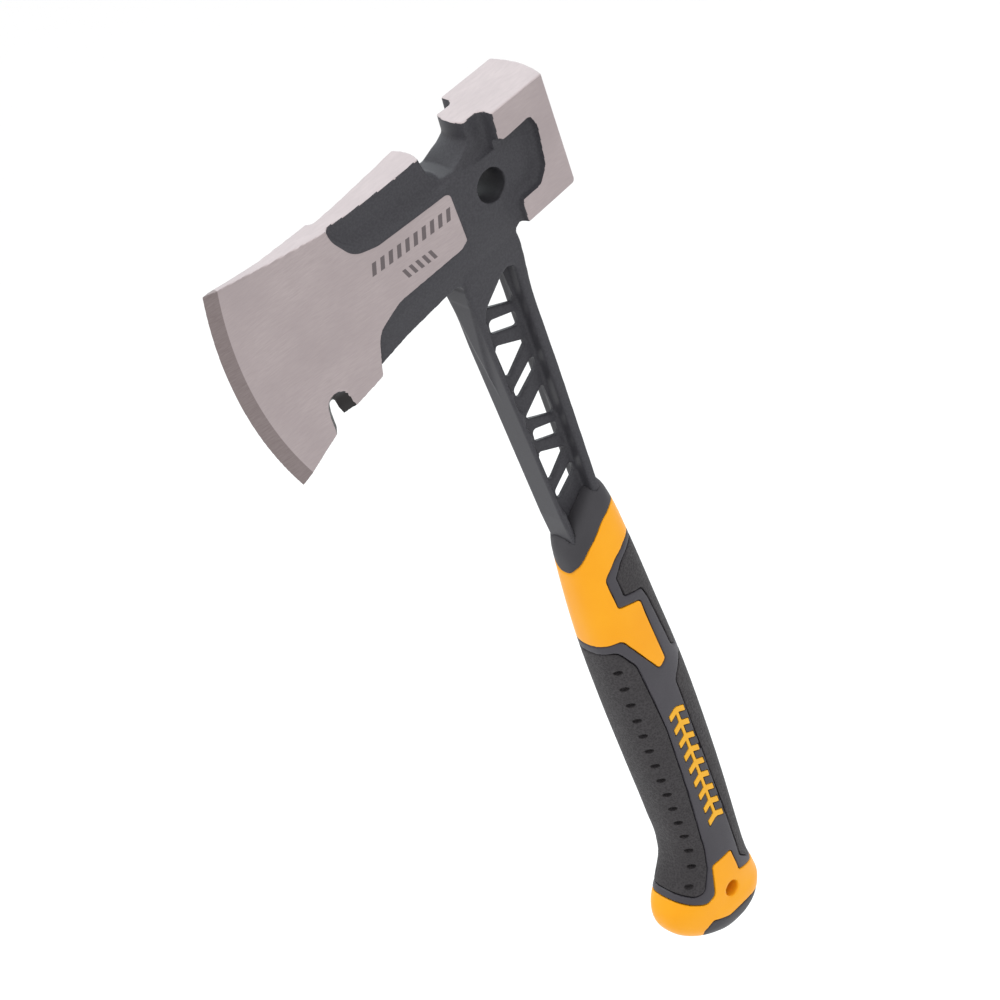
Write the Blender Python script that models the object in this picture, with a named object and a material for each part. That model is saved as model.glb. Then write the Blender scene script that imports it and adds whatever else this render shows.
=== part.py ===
"""Roofing hatchet: one forged steel head, shank and tang in a moulded two-colour grip.

Metres, +Z up. +X runs from the cutting edge to the striking face, +Z from the grip to the head,
and the two sides of the plane Y = 0 are alike. The origin is the centre of the eye hole.
"""

import math

import bmesh
import bpy
from mathutils import Vector

OBJECT_NAME = "roofing_hatchet"

# Clearance between pieces that touch on the real object.
GAP = 0.0003
# Half of the reach of a cutter that passes right through the object along Y.
THROUGH = 0.030

# Head
TOP_Z = 0.0232
EDGE_CENTRE_X = 0.0260
EDGE_CENTRE_Z = -0.0031
EDGE_RADIUS = 0.1315
EDGE_SIDES = 144
BEVEL_WIDTH = 0.0048
BEVEL_HALF_THICKNESS = 0.00115
BODY_HALF_THICKNESS = 0.0090
NECK_HALF_THICKNESS = 0.0060
POLL_HALF_THICKNESS = 0.0122
FACE_TOP_X = 0.0306
FACE_BOTTOM_X = 0.0284
FACE_BOTTOM_Z = -0.0164
EYE_RADIUS = 0.0056
# Where the body starts to thin toward the shank, and by how much per metre going down.
THINNING_Z = -0.0103
THINNING = 0.152
# Beside the ground pad it thins toward the edge too, from this x.
THINNING_X = -0.0140
EDGEWARD_THINNING = 0.075
# Half thickness of the body in the scoop above the ridge, at this x and per metre toward the poll.
SCOOP_X = -0.0560
SCOOP_HALF_THICKNESS = 0.0036
SCOOP_SLOPE = 0.078
# Half of the reach along Z of the cutter with the head's plan.
PLAN_REACH = 0.060

# Shank and tang
WEB_HALF_THICKNESS = 0.0012
SHANK_HALF_THICKNESS = 0.0060
TANG_HALF_THICKNESS = 0.0034
TANG_END_Z = -0.2920
TANG_HOLE_X = -0.0109
TANG_HOLE_RADIUS = 0.0040
TANG_HOLE_LEVELS = (-0.163, -0.205, -0.247)
# The lower four windows repeat the upper four, smaller and this much lower.
WINDOW_PIVOT = (-0.0095, -0.0325)
WINDOW_SHIFT = (-0.0008, -0.0463)
WINDOW_SCALE = (0.87, 0.93)

# Grip
SECTION_POWER = 2.5
SECTION_POINTS = 28
GRIP_STEP = 0.0100
# Where the grip's insides end above its closed bottom, and a box that holds the whole grip.
INSIDE_BOTTOM_Z = -0.3170
BOX_FRONT_X = -0.0600
BOX_BACK_X = 0.0200
BOX_TOP_Z = -0.0900
BOX_BOTTOM_Z = -0.3500
SLEEVE_DEPTH = 0.0030
PAD_DEPTH = 0.0016
COLLAR_DEPTH = 0.0017
COLLAR_CAP = 0.0040
BUTT_DEPTH = 0.0030
LANYARD_X = -0.0169
LANYARD_Z = -0.3007
LANYARD_RADIUS = 0.0030

# Dimples of the front pad, one row on each side
DIMPLE_COUNT = 15
DIMPLE_TOP_Z = -0.1895
DIMPLE_BOTTOM_Z = -0.2888
DIMPLE_ANGLE = math.radians(142)
DIMPLE_HALF_SIZES = (0.00175, 0.0012, 0.00095)

# Plain mark on the grip's smooth strip: bars that slope down from a thin spine
MARK_TOP = (-0.0112, -0.2135)
MARK_BOTTOM = (-0.0124, -0.2700)
MARK_BARS = 9
MARK_BAR_LENGTH = 0.0070
MARK_BAR_WIDTH = 0.0024
MARK_BAR_SLANT = 0.0030
MARK_SPINE_WIDTH = 0.0012
MARK_DEPTH = 0.0008

# Height, front x, back x and half thickness of the grip at its main levels, top to bottom.
GRIP_LEVELS = (
    (-0.1170, -0.0207, 0.0000, 0.0078),
    (-0.1210, -0.0209, 0.0004, 0.0082),
    (-0.1320, -0.0217, 0.0020, 0.0094),
    (-0.1470, -0.0236, 0.0027, 0.0106),
    (-0.1750, -0.0264, 0.0033, 0.0120),
    (-0.2050, -0.0275, 0.0039, 0.0127),
    (-0.2350, -0.0277, 0.0031, 0.01275),
    (-0.2620, -0.0277, 0.0015, 0.01275),
    (-0.2760, -0.0281, 0.0003, 0.01275),
    (-0.2840, -0.0304, -0.0002, 0.01275),
    (-0.2910, -0.0358, -0.0004, 0.01275),
    (-0.2980, -0.0412, -0.0002, 0.0127),
    (-0.3040, -0.0419, 0.0006, 0.0124),
    (-0.3090, -0.0394, 0.0006, 0.0122),
    (-0.3130, -0.0354, -0.0012, 0.0113),
    (-0.3165, -0.0303, -0.0040, 0.0096),
    (-0.3190, -0.0260, -0.0075, 0.0072),
    (-0.3203, -0.0220, -0.0110, 0.0040),
)

# Outlines are corners (x, z), or (x, z, radius) for a rounded corner.
HEAD = (
    (-0.1100, 0.0302),
    (-0.0785, 0.0249),
    (-0.0587, 0.0228),
    (-0.0480, 0.0222),
    (-0.0300, 0.0226),
    (-0.0182, TOP_Z, 0.0006),
    (-0.0172, 0.0164, 0.0020),
    (-0.0140, 0.0127, 0.0015),
    (-0.0094, 0.0122, 0.0008),
    (-0.0009, 0.0171, 0.0020),
    (-0.0009, TOP_Z, 0.0006),
    (FACE_TOP_X, TOP_Z),
    (FACE_BOTTOM_X, FACE_BOTTOM_Z),
    (0.0058, -0.0173),
    (0.0038, -0.0206),
    (0.0028, -0.0330),
    (-0.0209, -0.0330),
    (-0.0209, -0.0229, 0.0040),
    (-0.0450, -0.0274),
    (-0.0574, -0.0308),
    (-0.0596, -0.0330),
    (-0.0720, -0.0364),
    (-0.0804, -0.0406),
    (-0.0935, -0.0469),
    (-0.1100, -0.0547),
)
# Distance from the edge side and half thickness, seen from above.
PLAN = (
    (-0.1200, 0.00115),
    (-0.0964, 0.00115),
    (-0.0880, 0.00160),
    (-0.0785, 0.00240),
    (-0.0690, 0.00358),
    (-0.0587, 0.00495),
    (-0.0400, 0.00700),
    (-0.0145, 0.00915),
    (-0.0138, BODY_HALF_THICKNESS),
    (0.0062, BODY_HALF_THICKNESS),
    (0.0082, POLL_HALF_THICKNESS),
    (0.0400, POLL_HALF_THICKNESS),
)
SCOOP = (
    (-0.0574, 0.0300),
    (-0.0574, 0.0205, 0.0060),
    (-0.0505, 0.0112, 0.0040),
    (-0.0180, 0.0095),
    (-0.0180, 0.0300),
)
TOP_WALL = (
    (-0.0180, 0.0300),
    (-0.0180, 0.0095),
    (0.0064, 0.0092),
    (0.0064, 0.0300),
)
SHIELD = (
    (0.0000, 0.0140),
    (0.0070, 0.0140, 0.0008),
    (0.0080, 0.0129, 0.0006),
    (0.0200, 0.0135, 0.0012),
    (0.0214, 0.0090, 0.0060),
    (0.0190, -0.0046, 0.0060),
    (0.0149, -0.0092, 0.0026),
    (0.0000, -0.0095),
)
# Beside the pad of the blade the body thins toward the edge as well as downward.
LOWER_LEFT = (
    (THINNING_X, THINNING_Z),
    (-0.0172, -0.0130),
    (-0.0430, -0.0138, 0.0060),
    (-0.0550, -0.0185, 0.0060),
    (-0.0600, -0.0290),
    (-0.0600, -0.0450),
    (THINNING_X, -0.0450),
)
LOWER_RIGHT = (
    (THINNING_X, THINNING_Z),
    (THINNING_X, -0.0450),
    (0.0050, -0.0450),
    (0.0050, THINNING_Z),
)
SHANK = (
    (0.0038, -0.0206),
    (0.0002, -0.0745),
    (-0.0024, -0.1194),
    (-0.0197, -0.1379),
    (-0.0202, -0.1250),
    (-0.0211, -0.0540),
    (-0.0209, -0.0300),
)
POCKET = (
    (-0.0010, -0.0270, 0.0020),
    (-0.0034, -0.0745),
    (-0.0058, -0.1165, 0.0026),
    (-0.0168, -0.1240, 0.0015),
    (-0.0178, -0.0600),
    (-0.0170, -0.0390, 0.0060),
)
TANG = (
    (-0.0042, -0.1195),
    (-0.0030, -0.1800),
    (-0.0032, -0.2400),
    (-0.0055, TANG_END_Z, 0.0040),
    (-0.0200, TANG_END_Z, 0.0040),
    (-0.0190, -0.2400),
    (-0.0185, -0.1800),
    (-0.0186, -0.1310),
)
# The upper windows of the web: two triangles, a level slot and a slanted one.
WINDOWS = (
    ((-0.0031, -0.0325, 0.0008), (-0.0026, -0.0464, 0.0010), (-0.0162, -0.0401, 0.0008)),
    ((-0.0042, -0.0496, 0.0012), (-0.0044, -0.0548, 0.0012),
     (-0.0156, -0.0505, 0.0012), (-0.0152, -0.0458, 0.0012)),
    ((-0.0040, -0.0608, 0.0008), (-0.0162, -0.0688, 0.0008), (-0.0163, -0.0552, 0.0010)),
    ((-0.0042, -0.0676, 0.0014), (-0.0046, -0.0722, 0.0014),
     (-0.0156, -0.0780, 0.0012), (-0.0156, -0.0737, 0.0014)),
)
# The nail notch on the blade's faces, and in its middle plane where it is narrowest.
NOTCH_FACE = ((-0.0812, -0.0460), (-0.0804, -0.0320), (-0.0787, -0.0289), (-0.0760, -0.0282),
              (-0.0732, -0.0289), (-0.0716, -0.0320), (-0.0716, -0.0430))
NOTCH_ROOT = ((-0.0790, -0.0460), (-0.0784, -0.0340), (-0.0778, -0.0316), (-0.0766, -0.0308),
              (-0.0756, -0.0316), (-0.0752, -0.0345), (-0.0730, -0.0430))
NOTCH_FACE_Y = 0.0028

# The slanted plane where the shank goes into the grip, and the lower end of the collar.
COLLAR_TOP = ((0.0200, -0.0958), (-0.0260, -0.1450))
COLLAR_FOOT = (
    (-0.0260, -0.1482),
    (-0.0232, -0.1476),
    (-0.0222, -0.1454),
    (-0.0171, -0.1393),
    (-0.0084, -0.1328),
    (-0.0025, -0.1310),
    (0.0200, -0.1318),
)
SLEEVE = (
    (0.0200, -0.1449),
    (-0.0030, -0.1453),
    (-0.0102, -0.1484),
    (-0.0161, -0.1530, 0.0020),
    (-0.0160, -0.1652, 0.0014),
    (-0.0074, -0.1682, 0.0016),
    (-0.0070, -0.1955, 0.0012),
    (-0.0110, -0.1972, 0.0012),
    (-0.0198, -0.1777, 0.0020),
    (-0.0600, -0.1780),
    (-0.0600, -0.2922),
    (-0.0372, -0.2924),
    (-0.0341, -0.2948),
    (-0.0290, -0.2978, 0.0030),
    (-0.0246, -0.2972, 0.0030),
    (-0.0212, -0.2854, 0.0016),
    (-0.0115, -0.2854, 0.0012),
    (-0.0110, -0.2965, 0.0014),
    (-0.0030, -0.3006),
    (0.0200, -0.3010),
)
FRONT_PAD = (
    (-0.0600, -0.1815),
    (-0.0226, -0.1812, 0.0030),
    (-0.0185, -0.1900, 0.0040),
    (-0.0173, -0.2210),
    (-0.0190, -0.2550),
    (-0.0211, -0.2770),
    (-0.0230, -0.2850, 0.0040),
    (-0.0276, -0.2932, 0.0030),
    (-0.0312, -0.2930, 0.0020),
    (-0.0355, -0.2901),
    (-0.0600, -0.2880),
)
UPPER_BACK_PAD = (
    (0.0200, -0.1476),
    (-0.0012, -0.1477),
    (-0.0078, -0.1504),
    (-0.0124, -0.1547, 0.0012),
    (-0.0123, -0.1625, 0.0008),
    (-0.0046, -0.1652, 0.0012),
    (-0.0034, -0.1703),
    (-0.0019, -0.1930, 0.0010),
    (-0.0005, -0.1950),
    (0.0200, -0.1955),
)
LOWER_BACK_PAD = (
    (0.0200, -0.1990),
    (0.0000, -0.2006),
    (-0.0064, -0.2060, 0.0030),
    (-0.0068, -0.2280),
    (-0.0073, -0.2550),
    (-0.0081, -0.2920, 0.0020),
    (-0.0043, -0.2972),
    (0.0200, -0.2985),
)
BUTT = (
    (0.0200, -0.3140),
    (-0.0028, -0.3138),
    (-0.0118, -0.3110),
    (-0.0222, -0.3105),
    (-0.0289, -0.3071, 0.0010),
    (-0.0325, -0.3095),
    (-0.0335, -0.3300),
    (0.0200, -0.3300),
)


def clear_scene():
    for obj in list(bpy.data.objects):
        bpy.data.objects.remove(obj, do_unlink=True)


def new_collection(name):
    collection = bpy.data.collections.new(name)
    bpy.context.scene.collection.children.link(collection)
    return collection


def material(name, colour, roughness, metallic=0.0):
    surface = bpy.data.materials.new(name)
    surface.use_nodes = True
    shader = surface.node_tree.nodes["Principled BSDF"]
    shader.inputs["Base Color"].default_value = (*colour, 1.0)
    shader.inputs["Roughness"].default_value = roughness
    shader.inputs["Metallic"].default_value = metallic
    return surface


def forged_steel():
    return material("forged_steel", (0.42, 0.41, 0.41), 0.40, metallic=1.0)


def yellow_plastic():
    return material("yellow_plastic", (0.93, 0.40, 0.03), 0.45)


def black_plastic():
    return material("black_plastic", (0.030, 0.030, 0.033), 0.50)


def black_rubber():
    return material("black_rubber", (0.022, 0.022, 0.024), 0.75)


def yellow_inlay():
    return material("yellow_inlay", (0.90, 0.42, 0.04), 0.40)


def rounded(outline, steps=3):
    """The outline's points, with each corner that has a radius turned into an arc."""
    points = []
    count = len(outline)
    for index, corner in enumerate(outline):
        here = Vector(corner[:2])
        if len(corner) == 2:
            points.append(here)
            continue
        before = (Vector(outline[index - 1][:2]) - here).normalized()
        after = (Vector(outline[(index + 1) % count][:2]) - here).normalized()
        half_angle = before.angle(after) / 2
        centre = here + (before + after).normalized() * (corner[2] / math.sin(half_angle))
        start = here + before * (corner[2] / math.tan(half_angle)) - centre
        end = here + after * (corner[2] / math.tan(half_angle)) - centre
        sweep = math.atan2(start.x * end.y - start.y * end.x, start.dot(end))
        for step in range(steps + 1):
            cos = math.cos(sweep * step / steps)
            sin = math.sin(sweep * step / steps)
            points.append(centre + Vector((start.x * cos - start.y * sin, start.x * sin + start.y * cos)))
    return points


def grown(points, distance):
    """The closed outline moved outward by the distance."""
    count = len(points)
    area = sum(points[i - 1].x * points[i].y - points[i - 1].y * points[i].x for i in range(count))
    outward = distance if area > 0 else -distance
    moved = []
    for index, here in enumerate(points):
        before = (here - points[index - 1]).normalized()
        after = (points[(index + 1) % count] - here).normalized()
        first = Vector((before.y, -before.x))
        second = Vector((after.y, -after.x))
        middle = (first + second).normalized()
        moved.append(here + middle * outward / max(0.5, middle.dot(first)))
    return moved


def mesh_from_curve(flat, collection):
    """A closed mesh object in place of the filled curve."""
    bpy.context.view_layer.update()
    graph = bpy.context.evaluated_depsgraph_get()
    mesh = bpy.data.meshes.new_from_object(flat.evaluated_get(graph))
    shape = bmesh.new()
    shape.from_mesh(mesh)
    bmesh.ops.remove_doubles(shape, verts=shape.verts, dist=0.000001)
    bmesh.ops.recalc_face_normals(shape, faces=shape.faces)
    shape.to_mesh(mesh)
    shape.free()
    name = flat.name
    placing = flat.matrix_world.copy()
    bpy.data.objects.remove(flat, do_unlink=True)
    solid = bpy.data.objects.new(name, mesh)
    solid.matrix_world = placing
    collection.objects.link(solid)
    return solid


def prism(name, points, half_depth, collection, upright=True):
    """An outline in X and Z extruded along Y or, lying flat, one in X and Y extruded along Z."""
    curve = bpy.data.curves.new(name, "CURVE")
    curve.dimensions = "2D"
    curve.fill_mode = "BOTH"
    curve.extrude = half_depth
    spline = curve.splines.new("POLY")
    spline.points.add(len(points) - 1)
    for point, place in zip(spline.points, points):
        point.co = (place[0], place[1], 0.0, 1.0)
    spline.use_cyclic_u = True
    flat = bpy.data.objects.new(name, curve)
    collection.objects.link(flat)
    if upright:
        flat.rotation_euler = (math.pi / 2, 0.0, 0.0)
    return mesh_from_curve(flat, collection)


def loft(name, rings, collection):
    """A closed solid through rings of equal point counts."""
    shape = bmesh.new()
    loops = [[shape.verts.new(point) for point in ring] for ring in rings]
    count = len(rings[0])
    for lower, upper in zip(loops, loops[1:]):
        for i in range(count):
            j = (i + 1) % count
            shape.faces.new((lower[i], lower[j], upper[j], upper[i]))
    shape.faces.new(loops[0])
    shape.faces.new(loops[-1])
    bmesh.ops.recalc_face_normals(shape, faces=shape.faces)
    mesh = bpy.data.meshes.new(name)
    shape.to_mesh(mesh)
    shape.free()
    solid = bpy.data.objects.new(name, mesh)
    collection.objects.link(solid)
    return solid


def side_pair(name, outline, inner_y, collection):
    """The same solid on both sides: the outline, from the inner_y of each point to beyond the object."""
    pair = []
    for side in (-1.0, 1.0):
        points = rounded(outline)
        inner = [(x, side * inner_y(x, z), z) for x, z in points]
        outer = [(x, side * THROUGH, z) for x, z in points]
        pair.append(loft(f"{name}_{len(pair) + 1}", (inner, outer), collection))
    return pair


def cross_cylinder(name, x, z, radius, collection, sides=24):
    """A cylinder along Y, right through the object."""
    shape = bmesh.new()
    bmesh.ops.create_cone(shape, cap_ends=True, segments=sides, radius1=radius, radius2=radius,
                          depth=2 * THROUGH)
    mesh = bpy.data.meshes.new(name)
    shape.to_mesh(mesh)
    shape.free()
    solid = bpy.data.objects.new(name, mesh)
    solid.rotation_euler = (math.pi / 2, 0.0, 0.0)
    solid.location = (x, 0.0, z)
    collection.objects.link(solid)
    return solid


def combine(target, other, operation):
    modifier = target.modifiers.new(other.name, "BOOLEAN")
    modifier.operation = operation
    modifier.solver = "EXACT"
    modifier.object = other
    other.hide_render = True
    other.display_type = "WIRE"


def cut(target, *others):
    for other in others:
        combine(target, other, "DIFFERENCE")


def finish(solid, surface):
    solid.data.materials.clear()
    solid.data.materials.append(surface)
    solid.data.shade_flat()


# Forged head, shank and tang


def plan_cutter(cutters):
    """The head as seen from above, which the side view is cut down to."""
    far_side = [Vector(point) for point in PLAN]
    near_side = [Vector((x, -y)) for x, y in reversed(PLAN)]
    return prism("cutter_plan", far_side + near_side, PLAN_REACH, cutters, upright=False)


def edge_cutter(cutters):
    """A double cone round the centre of the cutting edge, whose rim is that edge."""
    slope = BEVEL_WIDTH / BEVEL_HALF_THICKNESS
    rings = []
    for y in (-THROUGH, 0.0, THROUGH):
        radius = EDGE_RADIUS - slope * abs(y)
        turns = [2 * math.pi * i / EDGE_SIDES for i in range(EDGE_SIDES)]
        rings.append([(EDGE_CENTRE_X + radius * math.cos(turn), y, EDGE_CENTRE_Z + radius * math.sin(turn))
                      for turn in turns])
    return loft("cutter_edge", rings, cutters)


def notch_cutter(cutters):
    """A slot with both its faces bevelled, narrowest in the middle plane."""
    rings = []
    for y in (-2 * NOTCH_FACE_Y, 0.0, 2 * NOTCH_FACE_Y):
        share = abs(y) / NOTCH_FACE_Y
        rings.append([(root[0] + (face[0] - root[0]) * share, y, root[1] + (face[1] - root[1]) * share)
                      for root, face in zip(NOTCH_ROOT, NOTCH_FACE)])
    return loft("cutter_nail_notch", rings, cutters)


def scoop_depth(x, z):
    """Half thickness left in the scoop above the ridge, less toward the edge."""
    return SCOOP_HALF_THICKNESS + (x - SCOOP_X) * SCOOP_SLOPE


def right_thinning(x, z):
    return BODY_HALF_THICKNESS + THINNING * (z - THINNING_Z)


def left_thinning(x, z):
    return right_thinning(x, z) + EDGEWARD_THINNING * (x - THINNING_X)


def window_outlines():
    """Every window of the web, the upper four and their smaller repeat."""
    for outline in WINDOWS:
        yield rounded(outline)
    for outline in WINDOWS:
        yield [Vector([WINDOW_PIVOT[k] + (point[k] - WINDOW_PIVOT[k]) * WINDOW_SCALE[k] + WINDOW_SHIFT[k]
                       for k in (0, 1)]) for point in rounded(outline)]


def tang(name, clearance, cutters):
    """The tang with its keying holes, larger all round by the clearance."""
    solid = prism(name, grown(rounded(TANG), clearance), TANG_HALF_THICKNESS + clearance, cutters)
    for number, z in enumerate(TANG_HOLE_LEVELS, 1):
        radius = TANG_HOLE_RADIUS - clearance
        cut(solid, cross_cylinder(f"{name}_hole_{number}", TANG_HOLE_X, z, radius, cutters, 20))
    return solid


def forging(parts, cutters):
    """Blade, poll, shank and tang in one piece of steel."""
    solid = prism("forging", rounded(HEAD), POLL_HALF_THICKNESS, parts)
    combine(solid, plan_cutter(cutters), "INTERSECT")
    combine(solid, edge_cutter(cutters), "INTERSECT")
    cut(solid, *side_pair("cutter_scoop", SCOOP, scoop_depth, cutters))
    cut(solid, *side_pair("cutter_top_wall", TOP_WALL, lambda x, z: NECK_HALF_THICKNESS, cutters))
    cut(solid, *side_pair("cutter_shield", SHIELD, lambda x, z: BODY_HALF_THICKNESS, cutters))
    cut(solid, *side_pair("cutter_lower_left", LOWER_LEFT, left_thinning, cutters))
    cut(solid, *side_pair("cutter_lower_right", LOWER_RIGHT, right_thinning, cutters))
    cut(solid, notch_cutter(cutters))
    cut(solid, cross_cylinder("cutter_eye", 0.0, 0.0, EYE_RADIUS, cutters, 32))
    combine(solid, prism("cutter_shank", rounded(SHANK), SHANK_HALF_THICKNESS, cutters), "UNION")
    cut(solid, *side_pair("cutter_pocket", POCKET, lambda x, z: WEB_HALF_THICKNESS, cutters))
    combine(solid, tang("cutter_tang", 0.0, cutters), "UNION")
    for number, outline in enumerate(window_outlines(), 1):
        cut(solid, prism(f"cutter_window_{number}", outline, THROUGH, cutters))
    return solid


# Grip


def grip_level(z):
    """Front x, back x and half thickness of the grip at this height, on a smooth curve."""
    levels = GRIP_LEVELS
    last = len(levels) - 1
    index = 0
    while index < last - 1 and z < levels[index + 1][0]:
        index += 1
    span = levels[index + 1][0] - levels[index][0]
    t = (z - levels[index][0]) / span
    found = []
    for column in (1, 2, 3):
        slopes = []
        for here in (index, index + 1):
            above = levels[max(here - 1, 0)]
            below = levels[min(here + 1, last)]
            slopes.append((below[column] - above[column]) / (below[0] - above[0]) * span)
        start = levels[index][column]
        end = levels[index + 1][column]
        found.append(start + (3 * t**2 - 2 * t**3) * (end - start)
                     + (t**3 - 2 * t**2 + t) * slopes[0] + (t**3 - t**2) * slopes[1])
    return found


def section_point(z, turn, inset=0.0):
    """A point of the grip's rounded section, made smaller by the inset. Turn 0 is the back."""
    front, back, half = grip_level(z)
    x = math.copysign(abs(math.cos(turn)) ** (2 / SECTION_POWER), math.cos(turn))
    y = math.copysign(abs(math.sin(turn)) ** (2 / SECTION_POWER), math.sin(turn))
    return ((front + back) / 2 + ((back - front) / 2 - inset) * x, (half - inset) * y, z)


def grip_solid(name, inset, collection):
    """The grip's whole outer form, made smaller all round by the inset."""
    bottom = GRIP_LEVELS[-1][0]
    heights = []
    for upper, lower in zip(GRIP_LEVELS, GRIP_LEVELS[1:]):
        steps = max(1, round((upper[0] - lower[0]) / GRIP_STEP))
        heights += [upper[0] + (lower[0] - upper[0]) * i / steps for i in range(steps)]
    heights.append(bottom)
    if inset > 0:
        heights = [z for z in heights if z > INSIDE_BOTTOM_Z + inset]
    turns = [2 * math.pi * i / SECTION_POINTS for i in range(SECTION_POINTS)]
    return loft(name, [[section_point(z, turn, inset) for turn in turns] for z in heights], collection)


def seat(name, points, depth, cutters):
    """What a piece with this side view takes out of the one behind it."""
    solid = prism(name, points, THROUGH, cutters)
    cut(solid, grip_solid(f"{name}_floor", depth, cutters))
    return solid


def skin(name, outline, depth, parts, cutters):
    """The part of the grip's surface with this side view, to the depth."""
    solid = grip_solid(name, 0.0, parts)
    combine(solid, prism(f"cutter_{name}_side", rounded(outline), THROUGH, cutters), "INTERSECT")
    cut(solid, grip_solid(f"cutter_{name}_inside", depth, cutters))
    return solid


def neck(name, inset, cap, cutters):
    """The core's upper end, which the collar covers like a cap."""
    solid = grip_solid(name, inset, cutters)
    below = [Vector((x, z - cap)) for x, z in COLLAR_TOP]
    region = below + [Vector((BOX_FRONT_X, BOX_BOTTOM_Z)), Vector((BOX_BACK_X, BOX_BOTTOM_Z))]
    combine(solid, prism(f"{name}_side", region, THROUGH, cutters), "INTERSECT")
    return solid


def grip_core(parts, cutters):
    """Hard inner moulding, which shows as the yellow band and pommel."""
    solid = grip_solid("grip_core", 0.0, parts)
    corners = [Vector((BOX_BACK_X, BOX_TOP_Z)), Vector((BOX_FRONT_X, BOX_TOP_Z))]
    above = [Vector(point) for point in COLLAR_FOOT] + corners
    collar_seat = prism("cutter_collar_seat", above, THROUGH, cutters)
    cut(collar_seat, neck("cutter_core_neck", COLLAR_DEPTH + GAP, COLLAR_CAP, cutters))
    cut(solid, collar_seat)
    cut(solid, seat("cutter_sleeve_seat", grown(rounded(SLEEVE), GAP), SLEEVE_DEPTH + GAP, cutters))
    cut(solid, seat("cutter_butt_seat", grown(rounded(BUTT), GAP), BUTT_DEPTH + GAP, cutters))
    cut(solid, tang("cutter_core_pocket", GAP, cutters))
    cut(solid, cross_cylinder("cutter_lanyard", LANYARD_X, LANYARD_Z, LANYARD_RADIUS, cutters))
    return solid


def grip_collar(parts, cutters):
    """Black cap round the tang where the steel goes into the grip."""
    solid = grip_solid("grip_collar", 0.0, parts)
    foot = [Vector((x, z + GAP)) for x, z in COLLAR_FOOT]
    side = [Vector(point) for point in COLLAR_TOP] + foot
    combine(solid, prism("cutter_collar_side", side, THROUGH, cutters), "INTERSECT")
    cut(solid, neck("cutter_collar_neck", COLLAR_DEPTH, COLLAR_CAP - GAP, cutters))
    cut(solid, tang("cutter_collar_pocket", GAP, cutters))
    return solid


def mark_outline():
    """Bars sloping down from a thin spine, as one closed outline down one side and up the other."""
    top = Vector(MARK_TOP)
    along = (Vector(MARK_BOTTOM) - top) / MARK_BARS
    across = Vector((along.y, -along.x)).normalized()
    slant = along.normalized() * MARK_BAR_SLANT / 2
    bar = along.normalized() * MARK_BAR_WIDTH / 2
    sides = []
    for side in (1.0, -1.0):
        points = []
        for number in range(MARK_BARS):
            centre = top + along * (number + 0.5)
            root = centre + across * side * MARK_SPINE_WIDTH / 2
            tip = centre + across * side * MARK_BAR_LENGTH / 2 + slant
            points += [root - bar, tip - bar, tip + bar, root + bar]
        sides.append(points)
    return sides[0] + sides[1][::-1]


def side_mark(name, side, parts, cutters):
    """Yellow inlay flush with the smooth strip of one side."""
    solid = grip_solid(name, 0.0, parts)
    half = THROUGH / 2
    outline = prism(f"cutter_{name}_side", mark_outline(), half, cutters)
    outline.location = (0.0, side * half, 0.0)
    combine(solid, outline, "INTERSECT")
    cut(solid, grip_solid(f"cutter_{name}_inside", MARK_DEPTH, cutters))
    return solid


def grip_sleeve(parts, cutters):
    """Smooth soft moulding with seats for the three textured pads and the side marks."""
    solid = skin("grip_sleeve", SLEEVE, SLEEVE_DEPTH, parts, cutters)
    for name, outline in (("front", FRONT_PAD), ("upper_back", UPPER_BACK_PAD), ("lower_back", LOWER_BACK_PAD)):
        points = grown(rounded(outline), GAP)
        cut(solid, seat(f"cutter_{name}_seat", points, PAD_DEPTH + GAP, cutters))
    cut(solid, seat("cutter_mark_seat", grown(mark_outline(), GAP), MARK_DEPTH + GAP, cutters))
    return solid


def dimples(cutters):
    """The rows of oval dimples, in one cutter."""
    shape = bmesh.new()
    for number in range(DIMPLE_COUNT):
        z = DIMPLE_TOP_Z + (DIMPLE_BOTTOM_Z - DIMPLE_TOP_Z) * number / (DIMPLE_COUNT - 1)
        for side in (-1.0, 1.0):
            before = Vector(section_point(z, side * DIMPLE_ANGLE * 0.97))
            after = Vector(section_point(z, side * DIMPLE_ANGLE * 1.03))
            along = math.atan2(after.y - before.y, after.x - before.x)
            made = bmesh.ops.create_uvsphere(shape, u_segments=8, v_segments=6, radius=1.0)["verts"]
            bmesh.ops.scale(shape, vec=DIMPLE_HALF_SIZES, verts=made)
            turn = Vector((math.cos(along), math.sin(along), 0.0))
            place = Vector(section_point(z, side * DIMPLE_ANGLE))
            for vert in made:
                spot = vert.co.copy()
                vert.co = place + Vector((turn.x * spot.x - turn.y * spot.y,
                                          turn.y * spot.x + turn.x * spot.y, spot.z))
    mesh = bpy.data.meshes.new("cutter_dimples")
    shape.to_mesh(mesh)
    shape.free()
    solid = bpy.data.objects.new("cutter_dimples", mesh)
    cutters.objects.link(solid)
    return solid


def front_pad(parts, cutters):
    """Textured pad round the front of the grip, with a row of dimples on each side."""
    solid = skin("front_pad", FRONT_PAD, PAD_DEPTH, parts, cutters)
    cut(solid, dimples(cutters))
    return solid


def butt_pad(parts, cutters):
    """Black cap under the pommel."""
    return skin("butt_pad", BUTT, BUTT_DEPTH, parts, cutters)


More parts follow.
